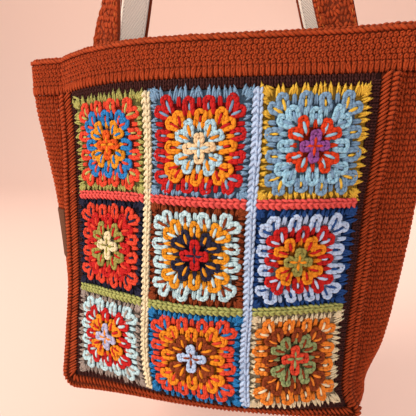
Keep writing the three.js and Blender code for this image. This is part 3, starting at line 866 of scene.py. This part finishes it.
def granny_square(row, column):
    name = f"granny_square_row{row + 1}_column{column + 1}"
    piece = Piece(name.replace("granny_square", "crochet_square"), panels[-1], 10 * row + column + 1,
                  *ROUNDS[row][column])
    middle_u = (column - (SQUARE_COUNT - 1) / 2) * PITCH
    middle_t = GRID_TOP + SQUARE_SIDE / 2 + row * PITCH
    edges = np.linspace(-1, 1, 35) * (SQUARE_SIDE - GAP) / 2
    pull_u, pull_t = PULLS[row][column]
    outer_sides = (row == 0, column == SQUARE_COUNT - 1, row == SQUARE_COUNT - 1, column == 0)

    def round_at(u, t):
        return np.searchsorted(ROUND_REACH, np.maximum(np.abs(u - middle_u), np.abs(t - middle_t)))

    def on_panel(paths, side):
        """From a side's own x, across, and y, outward, to the panel."""
        x, y, rise = np.moveaxis(np.asarray(paths, float), -1, 0)
        kept = 1 - np.minimum(1, np.maximum(np.abs(x), np.abs(y)) / (SQUARE_SIDE / 2)) ** 2
        u, t = from_middle(x, y, side)
        return stacked(middle_u + u + pull_u * kept, middle_t + t + pull_t * kept, rise)

    # Painted shade: the shell under the petals is darkened so that it shows as dark gaps between them.
    piece.shell(middle_u + edges, middle_t + edges, -WALL, -1.2, material=round_at, tone=0.3)
    for side in range(4):
        for k in range(len(PETALS)):
            petals = petal_round(piece.random, k)
            for paths, (radius, further, tip_tone, sides) in zip(petals, PETAL_STRANDS):
                if paths:
                    piece.strands(on_panel(paths, side), radius, material=k + further, tip_tone=tip_tone,
                                  sides=sides)
        teeth = outer_teeth(piece.random, TOOTH_OVERLAP * outer_sides[side])
        piece.strands(on_panel(teeth, side), 1.4, material=4, tip_tone=0.66, point=0.25)
    piece.finish(SQUARE_SLOTS[row][column], name)


def joining_ridge(name, colour, slot, along, across, upright, seed):
    """A chain with arms to one side, along a rectangle of the front."""
    piece = Piece(name.replace("joining_ridge", "join"), panels[-1], seed, colour)
    length = along[1] - along[0]
    steps = np.linspace(along[0] + GAP / 2, along[1] - GAP / 2, max(2, round(length / 3)))
    widths = np.linspace(across[0] + GAP / 2, across[1] - GAP / 2, 7)
    middle = (across[0] + across[1]) / 2

    def crown(u, t):
        off = (u if upright else t) - middle
        return -0.8 + 2.2 * np.sqrt(np.maximum(0, 1 - (off / (JOIN_WIDTH / 2)) ** 2))

    # Painted shade: the shell is darkened where it shows between the stitches, and on its back face.
    piece.shell(*((widths, steps) if upright else (steps, widths)), -WALL, crown, tone=0.78)
    at = along[0] + spots(length, RIDGE_PITCH)
    for legs, off, width, radius, rise in ((ARM, -0.4, 9.8, 1.75, 0.5), (LINK, 2.0, 5.6, 1.45, 1.2)):
        a, b = (middle + off, at) if upright else (at, middle - off)
        piece.stitches(a, b, (width, RIDGE_PITCH), legs, radius, rise=rise, jitter=0.25, points=6, sides=6,
                       angle=0.0 if upright else -QUARTER, tip_tone=0.65)
    piece.finish(slot, name)


def joining_ridges():
    for i, (name, colour) in enumerate((("cream", "ridge_cream"), ("periwinkle", "periwinkle"))):
        u = -GRID_SIDE / 2 + SQUARE_SIDE + i * PITCH
        joining_ridge(f"joining_ridge_upright_{name}", colour, name, (GRID_TOP, GRID_TOP + GRID_SIDE),
                      (u, u + JOIN_WIDTH), True, 101 + i)
    for row, (name, colour) in enumerate((("coral", "coral"), ("olive", "ridge_olive"))):
        t = GRID_TOP + SQUARE_SIDE + row * PITCH
        for column in range(SQUARE_COUNT):
            u = -GRID_SIDE / 2 + column * PITCH
            joining_ridge(f"joining_ridge_level_{name}_{column + 1}", colour, name, (u, u + SQUARE_SIDE),
                          (t, t + JOIN_WIDTH), False, 111 + 10 * row + column)


def dark_frame():
    piece = Piece("dark_border", panels[-1], 131, "dark_brown")
    inner = GRID_SIDE / 2 + BORDER_GAP
    outer = GRID_SIDE / 2 + DARK_BORDER - BORDER_GAP
    middle = (inner + outer) / 2
    middle_t = GRID_TOP + GRID_SIDE / 2

    def square_ring(turn, reach):
        side = np.minimum(np.floor(turn), 3)
        u, t = from_middle(((turn - side) * 2 - 1) * reach, reach, side)
        return u, middle_t + t

    around = np.linspace(0, 4, 4 * 90 + 1)
    # Painted shade: the shell is darkened where it shows between the stitches, and on its back face.
    piece.shell(around, np.linspace(inner, outer, 5), -WALL, -1.4, flat_at=square_ring, ring=True, tone=0.5)
    x = spots(2 * middle, STITCH) - middle
    # Posts over the whole width, then three rows of knots: legs, height, radius, rise and place in the width
    rows = [(POST, DARK_BORDER - 0.8, 1.3, -1.5, 0.0)]
    rows += [(KNOT, 3.8, 1.05, -0.7, place) for place in (-0.3, 0.02, 0.34)]
    for side in range(4):
        lean = QUARTER * side + piece.random.normal(0, 0.06, len(x))
        for legs, height, radius, rise, place in rows:
            u, t = from_middle(x, middle - place * DARK_BORDER, side)
            piece.stitches(u, middle_t + t, (STITCH, height), legs, radius, angle=lean, rise=rise, points=4,
                           tip_tone=0.7)
    piece.finish("dark_brown", "dark_frame")


def rust_edge():
    piece = Piece("rust_border", panels[-1], 141, "rust")
    setback = SEAM_SETBACK - RUST_TUCK
    outer = edge_path(setback, RIM_HEIGHT + BORDER_GAP, CORNER_RADIUS - setback)
    inner_side, inner_bottom = HALF - RUST_BORDER, PANEL_HEIGHT - RUST_BORDER
    near = np.clip(outer[:, :2], (-inner_side, 0), (inner_side, inner_bottom))

    def between(i, share):
        i = i.astype(int)
        return np.moveaxis(near[i] + (outer[i, :2] - near[i]) * share[..., None], -1, 0)

    # Painted shade: the shell is darkened where it shows between the stitches, and on its back face.
    piece.shell(np.arange(len(outer)), np.linspace(0, 1, 4), -WALL, -1.3, flat_at=between, tone=0.35)
    inset = (RUST_BORDER + SEAM_SETBACK) / 2
    middle = edge_path(inset - 0.8, RIM_HEIGHT + BORDER_GAP, CORNER_RADIUS - inset, step=1.0)
    lengths = lengths_along(middle[:, :2])
    for below, pitch, along, radius in ((False, 3.8, 8.0, 1.55), (True, 5.2, 4.2, 2.0)):
        at = spots(lengths[-1], pitch)
        every = np.array([np.interp(at, lengths, values) for values in middle.T])
        u, t, out_u, out_t = every[:, (every[3] > 0.6) == below]
        cover = LEFT_COVER * np.clip(-out_u, 0, 1) ** 4
        piece.stitches(u - out_u * cover / 2, t, (RUST_STITCH + cover, along), BAND, radius, points=6,
                       angle=np.arctan2(out_t, out_u) + math.pi, tone=0.92)
    piece.finish("rust", "rust_edge")


def rim_band():
    piece = Piece("rim", rim_sheet(), 151, "rust")
    around = piece.sheet.a[-1]
    steps, levels = np.linspace(0, around, 241), np.linspace(-0.8, RIM_HEIGHT - GAP / 2, 9)
    # Painted shade: the shell is darkened where it shows between the stitches, and on its back face.
    piece.shell(steps, levels, -WALL, -1.2, ring=True, tone=0.58, painted_shade_back_tone=0.7)
    at = spots(around, STITCH)
    piece.stitches(at, 1.5, (4.4, STITCH * 1.6), ROPE, 1.75, angle=-QUARTER, rise=0.5, points=6, sides=6,
                   tip_tone=0.5)
    piece.stitches(at, -0.4, (4.6, STITCH), LINK, 1.5, angle=-QUARTER, rise=-2.6)
    for row in range(5):
        lean = piece.random.normal(0, 0.2, len(at))
        shifted = at + STITCH * 0.3 * (row % 2)
        down = RIM_ROW * row
        piece.stitches(shifted, 7.4 + down, (STITCH * 1.1, 4.8), KNOT, 1.5, angle=lean, rise=-0.6, points=4)
        piece.stitches(shifted + 0.6, 6.2 + down, (STITCH * 1.2, 4.0), WRAP, 1.05, rise=-0.3, points=4,
                       tip_tone=0.8)
    lean = piece.random.normal(0, 0.1, len(at))
    piece.stitches(at, 33.6, (STITCH, 13.6), POST, 1.45, angle=lean, rise=-0.2, points=6)
    piece.stitches(at, 32.2, (STITCH, 12.0), WRAP, 1.3, rise=0.1, points=4)
    piece.stitches(at, 37.2, (STITCH, 8.0), WRAP, 1.15, rise=-0.1, points=4)
    for row in range(6):
        piece.stitches(at + STITCH / 2 * (row % 2), 5.5 + 5.6 * row, (STITCH, 5.6), VEE, 1.3, angle=math.pi,
                       rise=-WALL + 0.6, points=4, sides=3, tone=0.85)
    piece.finish("rust", "rim_band")


def back_panel():
    piece = Piece("back", panels[1], 161, "rust")
    top, bottom = RIM_HEIGHT + BORDER_GAP, PANEL_HEIGHT - SEAM_SETBACK
    radius = CORNER_RADIUS - SEAM_SETBACK
    edge = edge_path(SEAM_SETBACK, top, radius)
    left = edge[: len(edge) // 2 + 1]
    rows = np.concatenate([left[left[:, 3] < 1, :2], [(-HALF + CORNER_RADIUS, bottom)]])

    def between(i, share):
        u, t = np.moveaxis(rows[i.astype(int)], -1, 0)
        return u * (1 - 2 * share), t

    # Painted shade: the shell is darkened where it shows between the stitches, and on its back face.
    piece.shell(np.arange(len(rows)), np.linspace(0, 1, 37), -WALL, -1.2, flat_at=between, tone=0.5,
                painted_shade_back_tone=0.7)
    at = spots(bottom - top, ROW)
    for t in top + at:
        below = max(0.0, t - (bottom - radius))
        width = 2 * (HALF - CORNER_RADIUS + math.sqrt(radius ** 2 - below ** 2))
        u = spots(width, STITCH) - width / 2
        piece.stitches(u, t, (STITCH, (bottom - top) / len(at)), VEE, 1.4, rise=-0.5, points=4, sides=3)
    piece.finish("rust", "back_panel")


def strip_piece(name, node, sheet, first, last, seed):
    """A stretch of the strip between the seams, from one length round the edge to another."""
    piece = Piece(name, sheet, seed, "rust")
    steps = np.linspace(first, last, max(4, round((last - first) / 5)))
    # Painted shade: the shell is darkened where it shows between the stitches, and on its back face.
    piece.shell(steps, np.linspace(0, GUSSET_DEPTH, 25), -WALL, -1.0, tone=0.6, painted_shade_back_tone=0.7)
    rows = spots(last - first, ROW)
    b = spots(GUSSET_DEPTH, GUSSET_STITCH)
    size = (GUSSET_DEPTH / len(b), (last - first) / len(rows) * 1.08)
    for a in first + rows:
        lean = piece.random.normal(0, 0.22, len(b))
        piece.stitches(a, b, size, KNOT, 1.5, angle=lean - QUARTER, rise=-0.7, jitter=0.25, points=4,
                       tip_tone=0.65)
    piece.finish("rust", node)


def gussets(sheet, path, lengths):
    corner = np.flatnonzero(path[:, 3] >= 1)
    first, last = lengths[corner[0]], lengths[corner[-1]]
    strip_piece("left_side", "left_gusset", sheet, 0.0, first, 171)
    strip_piece("underside", "base", sheet, first + GAP, last - GAP, 172)
    strip_piece("right_side", "right_gusset", sheet, last, lengths[-1], 173)


def seam(side):
    name = SIDE_NAMES[side]
    piece = Piece(f"{name}_piping", seam_sheet(side), 181 + side, "rust")
    length, around = piece.sheet.a[-1], piece.sheet.b[-1]
    # Painted shade: the seam's core is darkened where it shows between its stitches.
    piece.tube(np.linspace(0, length, round(length / 4)), np.linspace(0, around, 13), rise=-0.8, tone=0.4)
    at = spots(length, SEAM_PITCH)
    for turn, width in ((0.02, -8.4), (0.27, 8.4), (0.52, -8.4)):
        piece.stitches(at, turn * around, (width, 4.0), SLANT, 1.75, rise=-0.4, angle=-QUARTER)
    piece.finish("rust", f"{name}_seam")


def side_patch(sheet, path, lengths):
    piece = Piece("patch", sheet, 191, "patch")
    left = np.flatnonzero(path[:, 2] == -1)
    a = np.interp([PATCH_TOP, PATCH_TOP + PATCH_HEIGHT], path[left, 1], lengths[left])
    turns = np.linspace(-1, 1, 181)
    middle = path[np.searchsorted(path[left, 1], PATCH_TOP + PATCH_HEIGHT / 2)]
    reach = lengths_along(gusset_point(middle, turns))
    b = np.interp(PATCH_TURNS, turns, reach) / reach[-1] * GUSSET_DEPTH

    def face(grid_a, grid_b):
        margin = np.min([grid_a - a[0], a[1] - grid_a, grid_b - b[0], b[1] - grid_b], axis=0)
        return BORDER_GAP + PATCH_THICKNESS - 0.8 * (1 - np.minimum(1, margin / 2.0)) ** 2

    piece.shell(np.linspace(*a, 33), np.linspace(*b, 33), GAP, face, tone=1.0)
    piece.finish("patch", "side_patch")


def strap(side):
    name = SIDE_NAMES[side]
    piece = Piece(f"{name}_handle", strap_sheet(side), 201 + side, "rust", "thread")
    length = piece.sheet.a[-1]
    half, face = STRAP_WIDTH / 2, STRAP_THICKNESS / 2
    steps = np.linspace(0, length, round(length / 4))
    # Painted shade: the shell is darkened where it shows between the stitches, and on its back face.
    piece.shell(steps, np.linspace(-half + 0.8, half - 0.8, 13), -face + 0.2, face - 1.3, painted_shade_back_tone=0.55)
    rows = spots(length, STRAP_ROW)
    columns = np.arange(STRAP_COLUMNS)
    width, height = (STRAP_WIDTH - 5.0) / STRAP_COLUMNS, length / len(rows)
    for row, a in enumerate(rows):
        b = (columns + 0.5 - STRAP_COLUMNS / 2) * width + (1.0 if row % 2 else -1.0)
        lean = piece.random.normal(0, 0.35, len(b)) + np.where((columns + row) % 2 > 0, 0.35, -0.35)
        rise = face - 1.6 + piece.random.normal(0, 0.4, len(b))
        piece.stitches(a, b, (width * 1.05, height * 1.25), VEE, 1.8, angle=QUARTER + lean, rise=rise,
                       jitter=0.5, points=4, sides=5, tone=0.9, tip_tone=0.5)
    at = spots(length, 5.0)
    for edge in (-1, 1):
        for rise, sides in ((face - 1.8, 4), (-face + 1.5, 3)):
            piece.stitches(at, edge * (half - 3.4), (3.6, 5.0), LINK, 1.45, angle=-QUARTER, rise=rise,
                           points=4, sides=sides)
        piece.stitches(spots(length, 9.0), edge * (half - 4.0), (1.0, 9.0), DASH, 0.4, angle=-QUARTER,
                       rise=face + 0.7, jitter=0.3, material=1)
    piece.finish("rust", f"{name}_strap")
    strap_lining(name, side, piece.sheet, steps)


def strap_lining(name, side, sheet, steps):
    """The tape under a strap, and the dark dots of its sewing."""
    piece = Piece(f"{name}_tape", sheet, 211 + side, "webbing", "taupe")
    half = WEBBING_WIDTH / 2
    high = -STRAP_THICKNESS / 2 - GAP
    low = high - WEBBING_THICKNESS

    def under(a, b):
        inset = half - np.abs(b)
        edge = np.clip(1 - inset / 1.2, 0, 1)
        groove = np.exp(-((inset - SEWING_INSET) / 0.8) ** 2)
        return low + 0.25 * edge ** 2 + 0.3 * groove

    piece.shell(steps, np.linspace(-half, half, 15), under, high, tone=1.0, painted_shade_back_tone=1.0)
    for edge in (-1, 1):
        piece.stitches(spots(sheet.a[-1], 4.2), edge * (half - SEWING_INSET), (1.0, 4.2), DOT, 0.42,
                       angle=-QUARTER, rise=low + 0.15, jitter=0.08, points=4, material=1)
    piece.finish("webbing", f"{name}_strap_webbing")


def make_bag():
    for row in range(SQUARE_COUNT):
        for column in range(SQUARE_COUNT):
            granny_square(row, column)
    joining_ridges()
    dark_frame()
    rust_edge()
    rim_band()
    back_panel()
    strip = strip_sheet()
    gussets(*strip)
    side_patch(*strip)
    for side in (-1, 1):
        seam(side)
        strap(side)


def stand(name, data, place, axes):
    """Puts a camera or light in the scene, with its own x, y and z along the three axes."""
    thing = bpy.data.objects.new(name, data)
    bpy.context.scene.collection.objects.link(thing)
    turned = Matrix(np.stack(axes, axis=1).tolist()).to_4x4()
    thing.matrix_world = Matrix.Translation(place) @ turned
    return thing


def make_camera():
    azimuth, elevation, roll = (math.radians(angle) for angle in CAMERA_ANGLES)
    forward = np.array([-math.sin(azimuth) * math.cos(elevation), math.cos(azimuth) * math.cos(elevation),
                        math.sin(elevation)])
    right = unit(np.cross(forward, [0, 0, 1.0]))
    up = np.cross(right, forward)
    rolled_right = right * math.cos(roll) + up * math.sin(roll)
    rolled_up = up * math.cos(roll) - right * math.sin(roll)
    data = bpy.data.cameras.new("camera")
    data.sensor_width = SENSOR_WIDTH
    data.lens = SENSOR_WIDTH * LENS_PIXELS / PICTURE_PIXELS
    data.clip_start = 0.01
    bpy.context.scene.camera = stand("camera", data, CAMERA_PLACE, (rolled_right, rolled_up, -forward))


def make_stage():
    """A pale floor that curves up into a wall."""
    radius, depth, half_width, height = 1.2, 1.6, 4.5, 6.0
    profile = [(-4.0, FLOOR), (depth, FLOOR)]
    for angle in np.linspace(0, QUARTER, 13)[1:]:
        profile.append((depth + radius * math.sin(angle), FLOOR + radius - radius * math.cos(angle)))
    profile.append((depth + radius, FLOOR + height))
    points = [(x, y, z) for y, z in profile for x in (-half_width, half_width)]
    faces = [(2 * i, 2 * i + 1, 2 * i + 3, 2 * i + 2) for i in range(len(profile) - 1)]
    mesh = bpy.data.meshes.new("floor")
    mesh.from_pydata(points, [], faces)
    for polygon in mesh.polygons:
        polygon.use_smooth = True
    nodes = Nodes("pale_floor", {"Base Color": linear((240, 206, 190)), "Roughness": 0.9})
    mesh.materials.append(nodes.material)
    stage = bpy.data.objects.new("floor", mesh)
    bpy.context.scene.collection.objects.link(stage)


def make_lights():
    """Round lamps that face the bag, in an even pale world."""
    for name, place, size, power, colour in LIGHTS:
        data = bpy.data.lights.new(name, "AREA")
        data.shape = "DISK"
        data.size, data.energy, data.color = size, power, colour
        away = unit(np.array(place) - LIT_POINT)
        side = unit(np.cross([0, 0, 1.0], away))
        stand(name, data, place, (side, np.cross(away, side), away))
    world = bpy.data.worlds.new("studio")
    world.use_nodes = True
    background = world.node_tree.nodes["Background"]
    background.inputs["Color"].default_value = (0.98, 0.94, 0.94, 1.0)
    background.inputs["Strength"].default_value = 0.62
    bpy.context.scene.world = world
    bpy.context.scene.view_settings.view_transform = "Standard"


make_camera()
make_bag()
make_stage()
make_lights()
